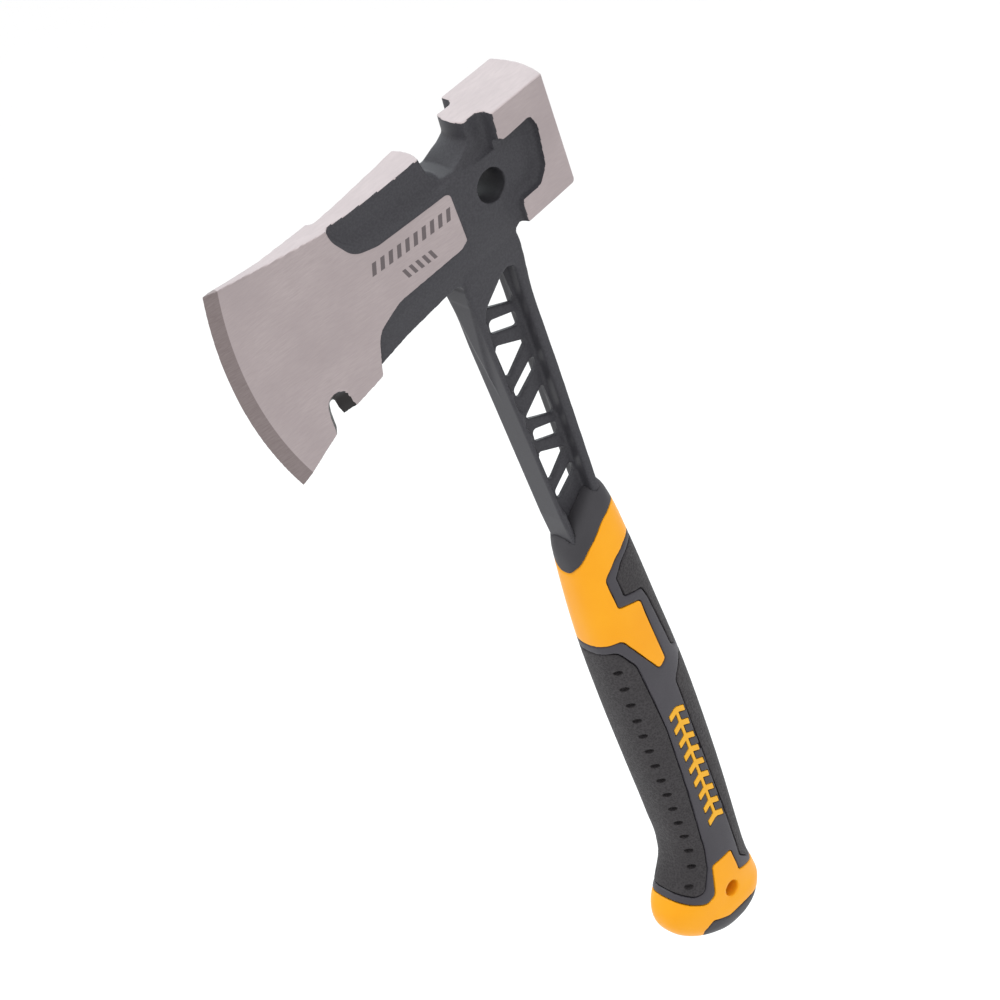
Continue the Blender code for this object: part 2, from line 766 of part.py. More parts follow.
def main():
    clear_scene()
    parts = new_collection(OBJECT_NAME)
    cutters = new_collection("cutters")
    rubber = black_rubber()
    plastic = black_plastic()
    inlay = yellow_inlay()
    finish(forging(parts, cutters), forged_steel())
    finish(grip_core(parts, cutters), yellow_plastic())
    finish(grip_collar(parts, cutters), plastic)
    finish(grip_sleeve(parts, cutters), plastic)
    finish(front_pad(parts, cutters), rubber)
    finish(skin("upper_back_pad", UPPER_BACK_PAD, PAD_DEPTH, parts, cutters), rubber)
    finish(skin("lower_back_pad", LOWER_BACK_PAD, PAD_DEPTH, parts, cutters), rubber)
    finish(butt_pad(parts, cutters), plastic)
    finish(side_mark("side_mark_near", -1.0, parts, cutters), inlay)
    finish(side_mark("side_mark_far", 1.0, parts, cutters), inlay)


main()
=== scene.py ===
"""Roofing hatchet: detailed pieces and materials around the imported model, in its frame.

Shapes are written as signed distances in millimetres, negative inside, and turned into meshes
on a grid by dual contouring, which keeps crisp edges and rounds fillets.
"""
import math

import bpy
import numpy as np
from mathutils import Matrix, Vector


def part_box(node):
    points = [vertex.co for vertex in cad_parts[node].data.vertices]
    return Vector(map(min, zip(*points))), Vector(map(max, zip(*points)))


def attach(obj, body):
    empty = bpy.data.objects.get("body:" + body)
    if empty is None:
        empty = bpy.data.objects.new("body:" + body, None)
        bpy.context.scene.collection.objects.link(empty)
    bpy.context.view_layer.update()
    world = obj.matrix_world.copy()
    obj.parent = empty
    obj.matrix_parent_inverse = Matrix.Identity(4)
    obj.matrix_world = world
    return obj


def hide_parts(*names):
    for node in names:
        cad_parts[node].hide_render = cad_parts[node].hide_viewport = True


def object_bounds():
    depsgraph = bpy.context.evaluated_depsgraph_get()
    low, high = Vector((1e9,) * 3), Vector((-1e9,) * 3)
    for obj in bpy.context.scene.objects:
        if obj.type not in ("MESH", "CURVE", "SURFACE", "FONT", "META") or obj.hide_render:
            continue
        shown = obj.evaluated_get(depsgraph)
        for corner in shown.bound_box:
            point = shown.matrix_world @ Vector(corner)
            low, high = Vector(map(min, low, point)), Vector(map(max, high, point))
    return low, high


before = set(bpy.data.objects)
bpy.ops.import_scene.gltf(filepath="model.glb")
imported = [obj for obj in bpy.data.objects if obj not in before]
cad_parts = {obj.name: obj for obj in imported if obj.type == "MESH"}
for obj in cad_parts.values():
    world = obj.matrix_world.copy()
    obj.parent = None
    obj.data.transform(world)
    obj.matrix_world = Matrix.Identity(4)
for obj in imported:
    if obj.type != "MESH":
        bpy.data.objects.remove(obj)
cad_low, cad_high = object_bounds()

MM = 0.001
GAP = 0.3

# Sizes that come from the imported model, in millimetres
forging_low, forging_high = (np.array(corner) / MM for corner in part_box("forging"))
TOP_Z = 23.2
POLL_HALF = forging_high[1]
FACE_CROWN = 1.9
FACE_TOP_X = 31.2

EDGE_CENTRE = (26.0, -3.1)
EDGE_RADIUS = EDGE_CENTRE[0] - forging_low[0]
BEVEL_WIDTH = 4.8
BEVEL_HALF = 1.15
BODY_HALF = 9.0
# Where the body thins toward the shank, how much per millimetre, and the steeper slope lower down
THINNING_Z = -10.3
THINNING = 0.13
LOWER_THINNING_Z = -19.5
LOWER_HALF = 7.75
LOWER_THINNING = 0.18
EDGEWARD_THINNING_X = -14.0
EDGEWARD_THINNING = 0.075
SHANK_HALF = 6.0
WEB_HALF = 1.15
EYE_RADIUS = 5.6
PAINT_STEP = 0.22

# Outlines in X and Z, with an optional corner radius
HEAD_SIDE = (
    (-112.0, 30.6), (-78.5, 24.9, 60.0), (-58.7, 22.8, 30.0), (-48.0, 22.2, 40.0),
    (-30.0, 22.6, 40.0), (-18.2, TOP_Z, 0.6), (-17.2, 16.4, 4.0), (-14.0, 12.7, 2.4),
    (-9.4, 12.2, 0.8),
    (-1.8, 17.1, 2.0), (-1.2, TOP_Z, 0.6), (FACE_TOP_X, TOP_Z, 0.6), (FACE_TOP_X - 2.2, -16.9, 1.6),
    (4.9, -17.8, 1.2), (2.9, -20.2, 2.0), (2.1, -33.0), (-20.9, -33.0), (-20.9, -22.9, 5.0),
    (-45.0, -27.4, 30.0), (-57.3, -31.0, 1.6), (-59.6, -33.0, 1.0), (-72.0, -36.4),
    (-80.4, -40.6), (-93.5, -46.9), (-112.0, -55.9),
)
SHANK_SIDE = (
    (2.9, -19.0), (2.1, -33.0), (0.4, -74.5, 60.0), (-2.3, -124.0), (-19.7, -139.0), (-20.4, -125.0, 8.0),
    (-21.3, -54.0, 40.0), (-20.9, -28.0), (-16.0, -19.0),
)
BLADE_GROUND = (
    (-140.0, 60.0), (-57.6, 60.0), (-57.6, 18.8, 9.0), (-52.6, 9.8, 8.0), (-44.0, 7.7, 9.0),
    (-15.1, 8.2, 2.0), (-15.5, -10.2, 1.2), (-18.4, -11.8, 1.5), (-44.5, -13.8, 12.0),
    (-54.8, -19.0, 9.0), (-58.7, -31.5), (-60.0, -60.0), (-140.0, -60.0),
)
SCOOP = (
    (-57.6, 40.0), (-57.6, 20.0, 8.0), (-52.0, 12.4, 8.0), (-34.8, 11.0, 60.0), (-15.7, 10.3),
    (-3.5, 10.0), (5.7, 9.8), (6.0, 14.0), (7.2, TOP_Z), (7.6, 40.0),
)
SHIELD = (
    (0.0, 14.0), (7.0, 14.0, 0.9), (8.0, 12.9, 1.4), (20.0, 13.5, 1.6), (21.4, 9.0, 8.0),
    (19.0, -4.6, 6.0), (14.9, -9.2, 3.0), (6.9, -9.5, 1.0), (5.9, -12.2, 3.0), (5.6, -24.0),
    (0.0, -24.0),
)
NOTCH_ROOT = (
    (-79.1, -48.0), (-78.3, -34.0, 3.0), (-77.6, -30.6, 1.4), (-75.6, -30.6, 1.2),
    (-75.2, -34.5, 3.0), (-72.4, -44.0),
)
NOTCH_LEAN = (0.18, 0.03)
NOTCH_SPREAD = 1.12
POCKET = (
    (-1.0, -27.0, 3.0), (-3.4, -74.5), (-5.8, -135.0), (-17.4, -146.0), (-18.6, -60.0),
    (-17.0, -39.0, 8.0),
)
TANG = (
    (-4.2, -128.0), (-3.0, -180.0), (-3.2, -240.0), (-5.5, -292.0, 4.0), (-20.0, -292.0, 4.0),
    (-19.0, -240.0), (-18.5, -180.0), (-18.6, -138.0),
)
TANG_HALF = 3.4
TANG_HOLES = ((-10.9, -163.0), (-10.9, -205.0), (-10.9, -247.0))
TANG_HOLE_RADIUS = 4.0
WINDOWS = (
    ((-3.1, -32.5, 1.2), (-2.6, -46.4, 1.3), (-16.2, -40.1, 1.2)),
    ((-4.2, -49.4, 1.6), (-4.4, -54.9, 1.6), (-15.5, -50.6, 1.6), (-14.8, -45.8, 1.6)),
    ((-4.0, -60.9, 1.2), (-16.3, -69.0, 1.2), (-16.5, -55.0, 1.3)),
    ((-3.8, -67.0, 2.0), (-4.4, -72.0, 1.9), (-15.7, -78.0, 1.8), (-15.7, -73.6, 2.0)),
)
WINDOW_PIVOT = (-9.5, -32.5)
WINDOW_SHIFT = (-0.8, -46.3)
WINDOW_SCALE = (0.87, 0.93)
# The windows widen outward by this slope from this depth, and into the front flange by the last.
WINDOW_BEVEL = 0.9
WINDOW_RIM = 0.6
FLANGE_LEAN = 1.8

# Grip: height, front x, back x and half thickness
GRIP_LEVELS = np.array((
    (-113.0, -20.4, -0.6, 7.4), (-121.0, -20.9, 0.4, 8.2), (-132.0, -21.7, 2.0, 9.4),
    (-147.0, -23.6, 2.7, 10.6), (-175.0, -26.4, 3.3, 12.0), (-205.0, -27.5, 3.9, 12.7),
    (-235.0, -27.7, 3.1, 12.75), (-262.0, -27.7, 1.5, 12.75), (-276.0, -28.1, 0.3, 12.75),
    (-284.0, -30.4, -0.2, 12.75), (-291.0, -35.8, -0.4, 12.75), (-298.0, -41.2, -0.2, 12.7),
    (-304.0, -41.9, 0.6, 12.4), (-309.0, -39.4, 0.6, 12.2), (-313.0, -35.4, -1.2, 11.3),
    (-316.5, -30.3, -4.0, 9.6), (-319.0, -26.0, -7.5, 7.2), (-320.3, -22.0, -11.0, 4.0),
))
SECTION_POWER = 2.5
COLLAR_TOP = ((20.0, -106.1), (-26.0, -135.5))
COLLAR_FOOT = (
    (-26.0, -148.2), (-23.2, -147.6, 2.0), (-22.2, -145.4, 4.0), (-17.1, -139.3, 10.0),
    (-8.4, -132.8, 10.0), (-2.5, -131.0, 6.0), (20.0, -131.8),
)
SLEEVE = (
    (20.0, -144.9), (-3.0, -145.3, 10.0), (-10.2, -148.4, 10.0), (-16.3, -152.8, 2.4),
    (-16.2, -165.3, 1.6), (-7.4, -168.2, 1.8), (-7.0, -195.6, 1.6), (-11.0, -197.3, 1.6),
    (-19.8, -177.7, 2.4), (-60.0, -178.0), (-60.0, -292.2), (-37.2, -292.4, 4.0),
    (-34.1, -294.8, 4.0), (-29.0, -298.0, 3.0), (-24.6, -297.2, 3.0), (-21.2, -285.3, 1.8),
    (-11.5, -285.3, 1.6), (-11.0, -296.5, 1.6), (-3.0, -300.6, 2.0), (20.0, -301.0),
)
FRONT_PAD = (
    (-60.0, -181.5), (-22.6, -181.2, 3.0), (-18.6, -190.0, 6.0), (-17.3, -221.0, 40.0),
    (-18.9, -250.0, 40.0), (-21.1, -277.0, 20.0), (-23.0, -285.0, 6.0), (-27.6, -293.2, 3.0),
    (-31.2, -293.0, 3.0), (-35.5, -290.1, 4.0), (-60.0, -288.0),
)
UPPER_BACK_PAD = (
    (20.0, -147.6), (-1.2, -147.7, 8.0), (-7.8, -150.4, 8.0), (-12.4, -154.7, 1.4),
    (-12.3, -162.5, 1.2), (-4.7, -165.2, 1.4), (-3.5, -170.3, 6.0), (-1.9, -193.4, 1.2),
    (-0.5, -195.2, 1.0), (20.0, -195.5),
)
LOWER_BACK_PAD = (
    (20.0, -199.0), (0.0, -200.6, 4.0), (-6.4, -206.0, 3.4), (-6.8, -228.0, 40.0),
    (-7.3, -255.0), (-8.1, -292.0, 2.4), (-4.3, -297.2, 2.0), (20.0, -298.5),
)
BUTT = (
    (20.0, -314.0), (-2.8, -313.8, 6.0), (-11.8, -311.1, 6.0), (-22.0, -310.6, 3.0),
    (-28.9, -307.1, 1.4), (-32.5, -309.5, 1.0), (-33.5, -330.0), (20.0, -330.0),
)
SLEEVE_DEPTH = 3.0
PAD_DEPTH = 1.6
COLLAR_DEPTH = 1.7
COLLAR_CAP = 8.0
COLLAR_ROUND = 7.0
BUTT_DEPTH = 3.0
LANYARD = (-16.9, -300.7)
LANYARD_RADIUS = 3.0
DIMPLE_COUNT = 15
DIMPLE_TOP_Z = -189.5
DIMPLE_BOTTOM_Z = -288.8
DIMPLE_ANGLE = math.radians(142)
DIMPLE_HALF = (1.75, 1.5, 0.95)
DIMPLE_SPREAD = 0.06
MARK_TOP = (-11.2, -213.5)
MARK_BOTTOM = (-12.4, -270.0)
MARK_BARS = 9
MARK_BAR_LENGTH = 7.0
MARK_BAR_WIDTH = 2.4
MARK_BAR_SLANT = 3.0
MARK_SPINE_WIDTH = 1.2
MARK_DEPTH = 0.8

# Rows of plain bars etched on the blade's tongue: limits in x and z, pitch and slant
BAR_ROWS = ((-51.0, -18.0, -0.3, 3.9, 3.3, -0.35), (-42.5, -29.5, -8.4, -4.8, 2.6, 0.35))
BAR_SHARE = 0.5
# Centre of the painted shade on the nail notch's walls
NOTCH_CENTRE = (-76.5, -38.0)
PAINT_GLOSS = 0.15
YELLOW_GLOSS = 0.2


# Lights: place and width in metres, power in watts and tint
LIGHTS = {
    "back_light": ((0.53, 0.95, 0.53), 2.4, 14.0, (0.86, 0.97, 1.0)),
    "top_light": ((-0.3, -0.3, 1.4), 2.4, 9.0, (1.0, 1.0, 1.0)),
}
FLOOR_HALF = 6.0
FLOOR_DROP = 0.9

CAMERA_PLACE = (-0.499307, -0.833286, 0.591243)
CAMERA_RIGHT = (0.69321639, -0.64850696, -0.31446742)
CAMERA_UP = (0.60435191, 0.28530091, 0.74388316)
CAMERA_LENS = 131.31
SENSOR = 36.0

# Distances


def rounded(outline, steps=6):
    """The outline's points, with each corner that has a radius turned into an arc."""
    points = []
    count = len(outline)
    for index, corner in enumerate(outline):
        here = Vector(corner[:2])
        if len(corner) == 2:
            points.append(here)
            continue
        back = Vector(outline[index - 1][:2]) - here
        ahead = Vector(outline[(index + 1) % count][:2]) - here
        before, after = back.normalized(), ahead.normalized()
        half_angle = before.angle(after) / 2
        reach = min(corner[2] / math.tan(half_angle), 0.49 * back.length, 0.49 * ahead.length)
        radius = reach * math.tan(half_angle)
        centre = here + (before + after).normalized() * (radius / math.sin(half_angle))
        start = here + before * reach - centre
        end = here + after * reach - centre
        sweep = math.atan2(start.x * end.y - start.y * end.x, start.dot(end))
        for step in range(steps + 1):
            cos = math.cos(sweep * step / steps)
            sin = math.sin(sweep * step / steps)
            points.append(centre + Vector((start.x * cos - start.y * sin, start.x * sin + start.y * cos)))
    return np.array([tuple(point) for point in points])


def polygon(outline):
    """The signed distance in the XZ plane to a closed outline, as a function."""
    points = rounded(outline)

    def distance(x, z):
        x, z = np.broadcast_arrays(x, z)
        nearest = np.full(x.shape, 1e9)
        inside = np.zeros(x.shape, bool)
        for (x0, z0), (x1, z1) in zip(points, np.roll(points, -1, axis=0)):
            dx, dz = x1 - x0, z1 - z0
            along = np.clip(((x - x0) * dx + (z - z0) * dz) / (dx * dx + dz * dz), 0, 1)
            nearest = np.minimum(nearest, (x - x0 - along * dx) ** 2 + (z - z0 - along * dz) ** 2)
            if dz:
                inside ^= ((z0 > z) != (z1 > z)) & (x < dx * (z - z0) / dz + x0)
        return np.where(inside, -1.0, 1.0) * np.sqrt(nearest)

    return distance


def both(a, b, width=0.3):
    """Intersection of two distances, with its edge rounded over the width."""
    share = np.clip(0.5 + 0.5 * (a - b) / width, 0, 1)
    return b + (a - b) * share + width * share * (1 - share)


def either(a, b, width=0.3):
    """Union of two distances, with a fillet over the width."""
    return -both(-a, -b, width)


def without(a, b, width=0.3):
    """The first distance with the second cut out of it."""
    return both(a, -b, width)


def smooth_step(low, high, value):
    t = np.clip((value - low) / (high - low), 0, 1)
    return t * t * (3 - 2 * t)


def smooth_curve(places, heights):
    """A smooth curve through points, as a function of the place."""
    order = np.argsort(places)
    xs, ys = np.array(places, float)[order], np.array(heights, float)[order]
    slopes = np.gradient(ys, xs)

    def height(x):
        i = np.clip(np.searchsorted(xs, x) - 1, 0, len(xs) - 2)
        span = xs[i + 1] - xs[i]
        t = np.clip((x - xs[i]) / span, 0, 1)
        return (ys[i] + (3 * t**2 - 2 * t**3) * (ys[i + 1] - ys[i])
                + (t**3 - 2 * t**2 + t) * span * slopes[i] + (t**3 - t**2) * span * slopes[i + 1])

    return height


# Dual contouring

# Step for a field's slope, in millimetres, and how strongly a corner is held to its cell's middle
GRADIENT_STEP = 0.02
CORNER_PULL = 0.03
# How far a grip piece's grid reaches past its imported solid, below and above
REACH_BELOW = 3.2
REACH_ABOVE = 1.4


def spread(low, high, step):
    count = max(2, int(math.ceil((high - low) / step)) + 1)
    return np.linspace(low, high, count)


def mirrored(half):
    """Grid levels on both sides of zero, from those on the positive side."""
    return np.concatenate([-half[:0:-1], half])


def contour(field, xs, ys, zs):
    """Points and quads of the closed surface where the field is zero."""
    axes = (xs, ys, zs)
    values = np.broadcast_to(field(xs[:, None, None], ys[None, :, None], zs[None, None, :]),
                             (len(xs), len(ys), len(zs)))
    inside = values < 0
    cells = tuple(len(axis) - 1 for axis in axes)
    spots, quads, weights = [], [], []
    for axis in range(3):
        low = tuple(slice(None, -1) if a == axis else slice(None) for a in range(3))
        high = tuple(slice(1, None) if a == axis else slice(None) for a in range(3))
        index = np.array(np.nonzero(inside[low] != inside[high]))
        ahead = index.copy()
        ahead[axis] += 1
        first, last = values[tuple(index)], values[tuple(ahead)]
        share = first / (first - last)
        point = np.stack([axes[a][index[a]] for a in range(3)], 1).astype(float)
        span = axes[axis][ahead[axis]] - axes[axis][index[axis]]
        point[:, axis] += share * span
        b, c = (axis + 1) % 3, (axis + 2) % 3
        around = []
        for step_b, step_c in ((1, 1), (0, 1), (0, 0), (1, 0)):
            cell = index.copy()
            cell[b] -= step_b
            cell[c] -= step_c
            around.append(np.ravel_multi_index(tuple(cell), cells))
        quad = np.stack(around, 1)
        flip = inside[tuple(index)] == 0
        quad[flip] = quad[flip][:, ::-1]
        spots.append(point)
        quads.append(quad)
    points = np.concatenate(spots)
    quads = np.concatenate(quads)
    nudge = GRADIENT_STEP
    middle = field(*points.T)
    normals = np.stack([field(*(points + nudge * np.eye(3)[a]).T) - middle for a in range(3)], 1)
    length = np.linalg.norm(normals, axis=1, keepdims=True)
    normals /= np.maximum(length, 1e-12)
    points = points - normals * (middle / np.maximum(length[:, 0], 1e-12) * nudge)[:, None]
    used, flat = np.unique(quads, return_inverse=True)
    flat = flat.reshape(-1)
    owner = np.repeat(np.arange(len(points)), 4)
    count = np.bincount(flat, minlength=len(used)).astype(float)

    def gathered(value):
        return np.bincount(flat, weights=value[owner], minlength=len(used))

    mass = np.stack([gathered(points[:, a]) / count for a in range(3)], 1)
    reach = np.einsum("ij,ij->i", normals, points)
    matrix = np.empty((len(used), 3, 3))
    right = np.empty((len(used), 3))
    for a in range(3):
        right[:, a] = gathered(normals[:, a] * reach)
        for b in range(3):
            matrix[:, a, b] = gathered(normals[:, a] * normals[:, b])
    right -= np.einsum("nij,nj->ni", matrix, mass)
    matrix += CORNER_PULL * count[:, None, None] * np.eye(3)
    placed = mass + np.linalg.solve(matrix, right[:, :, None])[:, :, 0]
    cell = np.unravel_index(used, cells)
    for a in range(3):
        placed[:, a] = np.clip(placed[:, a], axes[a][cell[a]], axes[a][cell[a] + 1])
    return placed, flat.reshape(-1, 4)


def mesh_piece(name, points, quads, sharp_angle=32):
    mesh = bpy.data.meshes.new(name)
    mesh.vertices.add(len(points))
    mesh.vertices.foreach_set("co", (points * MM).astype(np.float32).ravel())
    mesh.loops.add(4 * len(quads))
    mesh.loops.foreach_set("vertex_index", quads.astype(np.int32).ravel())
    mesh.polygons.add(len(quads))
    mesh.polygons.foreach_set("loop_start", np.arange(0, 4 * len(quads), 4, dtype=np.int32))
    mesh.update(calc_edges=True)
    mesh.validate()
    mesh.shade_smooth()
    mesh.set_sharp_from_angle(angle=math.radians(sharp_angle))
    piece = bpy.data.objects.new(name, mesh)
    bpy.context.scene.collection.objects.link(piece)
    return piece


def corner_values(piece, name, values):
    """A number for each corner of each face, which the piece's material reads."""
    attribute = piece.data.attributes.new(name, "FLOAT", "CORNER")
    attribute.data.foreach_set("value", values.astype(np.float32).ravel())


# Forging

head_side = polygon(HEAD_SIDE)
shank_side = polygon(SHANK_SIDE)
blade_ground = polygon(BLADE_GROUND)
scoop_side = polygon(SCOOP)
shield_side = polygon(SHIELD)
notch_root = polygon(NOTCH_ROOT)
pocket_side = polygon(POCKET)
tang_side = polygon(TANG)
cheek_half = smooth_curve((-140, -112, -96.4, -88, -78.5, -69, -58.7, -49, -40, -27, -14, 0, 40),
                          (1.15, 1.15, 1.15, 1.6, 2.4, 3.58, 4.95, 6.1, 7.0, 8.2, 9.2, 9.25, 9.25))
wall_half = smooth_curve((-140, -62, -56, -49, -39.5, -29, -20, -9, -1, 40),
                         (3.1, 3.1, 3.2, 4.1, 4.9, 5.8, 6.4, 7.6, 6.6, 6.6))


def lowered(corner):
    """Where a corner of an upper window comes again in the lower set."""
    return [pivot + (place - pivot) * scale + shift
            for place, pivot, scale, shift in zip(corner, WINDOW_PIVOT, WINDOW_SCALE, WINDOW_SHIFT)]


def window_sides():
    """Every window of the web, the upper four and their smaller repeat."""
    for outline in WINDOWS:
        yield polygon(outline)
    for outline in WINDOWS:
        yield polygon([(*lowered(corner), corner[2] * WINDOW_SCALE[0]) for corner in outline])


windows = list(window_sides())


def crown_of(x, z):
    """How much the ends of the top faces and the striking face curve back toward the sides."""
    top = np.interp(x, (-30, -20, -14, -8, -3, 3, 10), (0, 0.034, 0.034, 0, -0.034, -0.034, 0))
    face = np.interp(x, (12, 22), (0, FACE_CROWN / POLL_HALF**2))
    return top * smooth_step(6.0, 12.0, z) + face


def poll_front(z):
    """Front end of the poll's sides."""
    return np.interp(z, (-17.3, -9.6, 14.0, TOP_Z), (5.8, 6.0, 6.0, 7.2))


def notch_side(x, z, depth):
    """Side distance to the nail notch, which opens out from the middle plane to the cheeks."""
    return notch_root(x - NOTCH_LEAN[0] * depth, z - NOTCH_LEAN[1] * depth) - NOTCH_SPREAD * depth


def edge_distance(x, z):
    return np.hypot(x - EDGE_CENTRE[0], z - EDGE_CENTRE[1]) - EDGE_RADIUS


def thinned_half(x, z):
    """Half thickness of the painted body below the ground pads."""
    upper = BODY_HALF + THINNING * (z - THINNING_Z)
    lower = LOWER_HALF + LOWER_THINNING * (z - LOWER_THINNING_Z)
    return np.minimum(upper, lower) + EDGEWARD_THINNING * np.minimum(x - EDGEWARD_THINNING_X, 0)


def forging_field(x, y, z):
    depth = np.abs(y)
    bowed = x + crown_of(x, z) * y**2
    silhouette = either(head_side(bowed, z), shank_side(x, z), 1.0)
    ground = cheek_half(x) + 0 * z
    painted = either(np.minimum(ground, BODY_HALF + 0.2) - PAINT_STEP, thinned_half(x, z), 0.8)
    inside_ground = smooth_step(0.25, -0.25, blade_ground(x, z))
    half = painted + (ground - painted) * inside_ground
    body = depth - half
    poll = both(depth - POLL_HALF, poll_front(z) - x, 1.0)
    solid = both(either(body, poll, 4.0), silhouette, 0.7)
    shank = both(both(depth - SHANK_HALF, shank_side(x, z), 1.0), z + 22.0, 4.0)
    solid = either(solid, shank, 3.0)
    scoop = both(scoop_side(x, z), wall_half(x) - depth, 3.0)
    solid = without(solid, scoop, 0.7)
    shield = both(shield_side(x, z), BODY_HALF - PAINT_STEP - depth, 3.2)
    solid = without(solid, shield, 0.45)
    pocket = both(pocket_side(x, z), WEB_HALF - depth, 1.4)
    solid = without(solid, pocket, 1.6)
    solid = without(solid, np.hypot(x, z) - EYE_RADIUS, 0.9)
    solid = without(solid, notch_side(x, z, depth) / 1.5, 0.2)
    slope = BEVEL_WIDTH / BEVEL_HALF
    bevel = (edge_distance(x, z) + slope * depth) / math.hypot(1, slope)
    solid = both(solid, np.where(z > -60, bevel, -50.0), 0.12)
    between_flanges = np.minimum(pocket_side(x, z), pocket_side(x + FLANGE_LEAN, z)) + GAP
    for window in windows:
        widened = window(x, z) - WINDOW_BEVEL * np.maximum(depth - WINDOW_RIM, 0)
        opened = both(widened, between_flanges, 0.5)
        solid = without(solid, opened, 0.5)
    tang = both(tang_side(x, z), depth - TANG_HALF, 0.4)
    for hole_x, hole_z in TANG_HOLES:
        tang = without(tang, np.hypot(x - hole_x, z - hole_z) - TANG_HOLE_RADIUS, 0.3)
    return either(solid, tang, 0.5)


def forging_piece():
    step = 0.56
    fine = np.concatenate([[0, 0.3, 0.65, 1.05, 1.5, 2.0], spread(2.6, POLL_HALF + 0.9, 0.6)])
    zs = np.concatenate([spread(-294.0, -142.0, 2.0)[:-1], spread(-142.0, forging_high[2] + 1.6, step)])
    xs = spread(forging_low[0] - 1.2, forging_high[0] + 1.2, step)
    points, quads = contour(forging_field, xs, mirrored(fine), zs)
    piece = mesh_piece("forging_detail", points, quads)
    corners = points[quads]
    normal = np.cross(corners[:, 2] - corners[:, 0], corners[:, 3] - corners[:, 1])
    normal /= np.maximum(np.linalg.norm(normal, axis=1, keepdims=True), 1e-12)
    x, y, z = corners[..., 0], np.abs(corners[..., 1]), corners[..., 2]
    sideways = np.abs(normal[:, 1])[:, None]
    upward = normal[:, 2][:, None]
    forward = normal[:, 0][:, None]
    on_cheek = np.where(y > cheek_half(x) - 0.4, -blade_ground(x, z), -1.0)
    on_cheek = np.minimum(on_cheek, notch_side(x, z, y) + 0.3)
    poll_ground = np.minimum(np.minimum(shield_side(x, z), x - poll_front(z) + 0.3), y - (POLL_HALF - 1.2))
    side_value = np.where(x < 5, on_cheek, poll_ground)
    top_value = np.where(z > 20.0, 1.0, -1.0)
    poll_value = np.where((x > 8.6) & (y < POLL_HALF + 1), 1.0, -1.0)
    value = np.where(sideways > 0.6, side_value,
                     np.where(upward > 0.6, top_value, np.where(forward > 0.5, poll_value, -1.0)))
    value = np.where((upward < -0.6) & (x > 6) & (z < -15), 1.0, value)
    edge = np.where(z > -60, edge_distance(x, z) + BEVEL_WIDTH, -50.0)
    value = np.where(edge.mean(1, keepdims=True) > 0, 1.0, value)
    corner_values(piece, "ground", value)
    corner_values(piece, "bevel", edge)
    corner_values(piece, "cheek", np.where((sideways > 0.9) & (y > 2.0), on_cheek, -1.0))
    return piece


# Grip

front_of = smooth_curve(GRIP_LEVELS[:, 0], GRIP_LEVELS[:, 1])
back_of = smooth_curve(GRIP_LEVELS[:, 0], GRIP_LEVELS[:, 2])
half_of = smooth_curve(GRIP_LEVELS[:, 0], GRIP_LEVELS[:, 3])


def grip_ratio(x, y, z):
    front, back, half = front_of(z), back_of(z), half_of(z)
    across = np.abs(x - (front + back) / 2) / ((back - front) / 2)
    return (across**SECTION_POWER + (np.abs(y) / half) ** SECTION_POWER) ** (1 / SECTION_POWER) - 1


def grip_field(x, y, z):
    """Distance to the grip's outer form."""
    nudge = 0.05
    value = grip_ratio(x, y, z)
    slope = np.sqrt(((grip_ratio(x + nudge, y, z) - grip_ratio(x - nudge, y, z)) / (2 * nudge)) ** 2
                    + ((grip_ratio(x, y + nudge, z) - grip_ratio(x, y - nudge, z)) / (2 * nudge)) ** 2
                    + ((grip_ratio(x, y, z + nudge) - grip_ratio(x, y, z - nudge)) / (2 * nudge)) ** 2)
    ends = np.maximum(-320.3 - z, z + 112.0)
    return both(value / np.maximum(slope, 0.02), ends, 1.2)


def section_point(z, turn):
    """A point of the grip's section at this height. Turn 0 is the back."""
    front, back, half = front_of(z), back_of(z), half_of(z)
    x = math.copysign(abs(math.cos(turn)) ** (2 / SECTION_POWER), math.cos(turn))
    y = math.copysign(abs(math.sin(turn)) ** (2 / SECTION_POWER), math.sin(turn))
    return np.array(((front + back) / 2 + (back - front) / 2 * x, half * y, z), float)


def plane_above(drop):
    """Distance above the slanted plane of the collar's top, moved down by the drop."""
    (x0, z0), (x1, z1) = COLLAR_TOP
    slope = (z0 - z1) / (x0 - x1)
    return lambda x, z: (z - (z0 + slope * (x - x0)) + drop) / math.hypot(1, slope)


above_collar = plane_above(0.0)
above_neck = plane_above(COLLAR_CAP)
collar_foot = polygon(COLLAR_FOOT + ((20.0, -90.0), (-60.0, -90.0), (-60.0, -147.0)))
sleeve_side = polygon(SLEEVE)
front_side = polygon(FRONT_PAD)
upper_side = polygon(UPPER_BACK_PAD)
lower_side = polygon(LOWER_BACK_PAD)
butt_side = polygon(BUTT)


def mark_outline():
    """Bars sloping down from a thin spine, as one closed outline down one side and up the other."""
    top = Vector(MARK_TOP)
    along = (Vector(MARK_BOTTOM) - top) / MARK_BARS
    across = Vector((along.y, -along.x)).normalized()
    slant = along.normalized() * MARK_BAR_SLANT / 2
    bar = along.normalized() * MARK_BAR_WIDTH / 2
    sides = []
    for side in (1.0, -1.0):
        points = []
        for number in range(MARK_BARS):
            centre = top + along * (number + 0.5)
            root = centre + across * side * MARK_SPINE_WIDTH / 2
            tip = centre + across * side * MARK_BAR_LENGTH / 2 + slant
            points += [root - bar, tip - bar, tip + bar, root + bar]
        sides.append(points)
    return [tuple(point) for point in sides[0] + sides[1][::-1]]


mark_side = polygon(mark_outline())


def pocket_in(side, grip, depth):
    """What a skin with this side view takes out of the piece behind it."""
    return np.maximum(side - GAP, -(grip + depth + GAP))


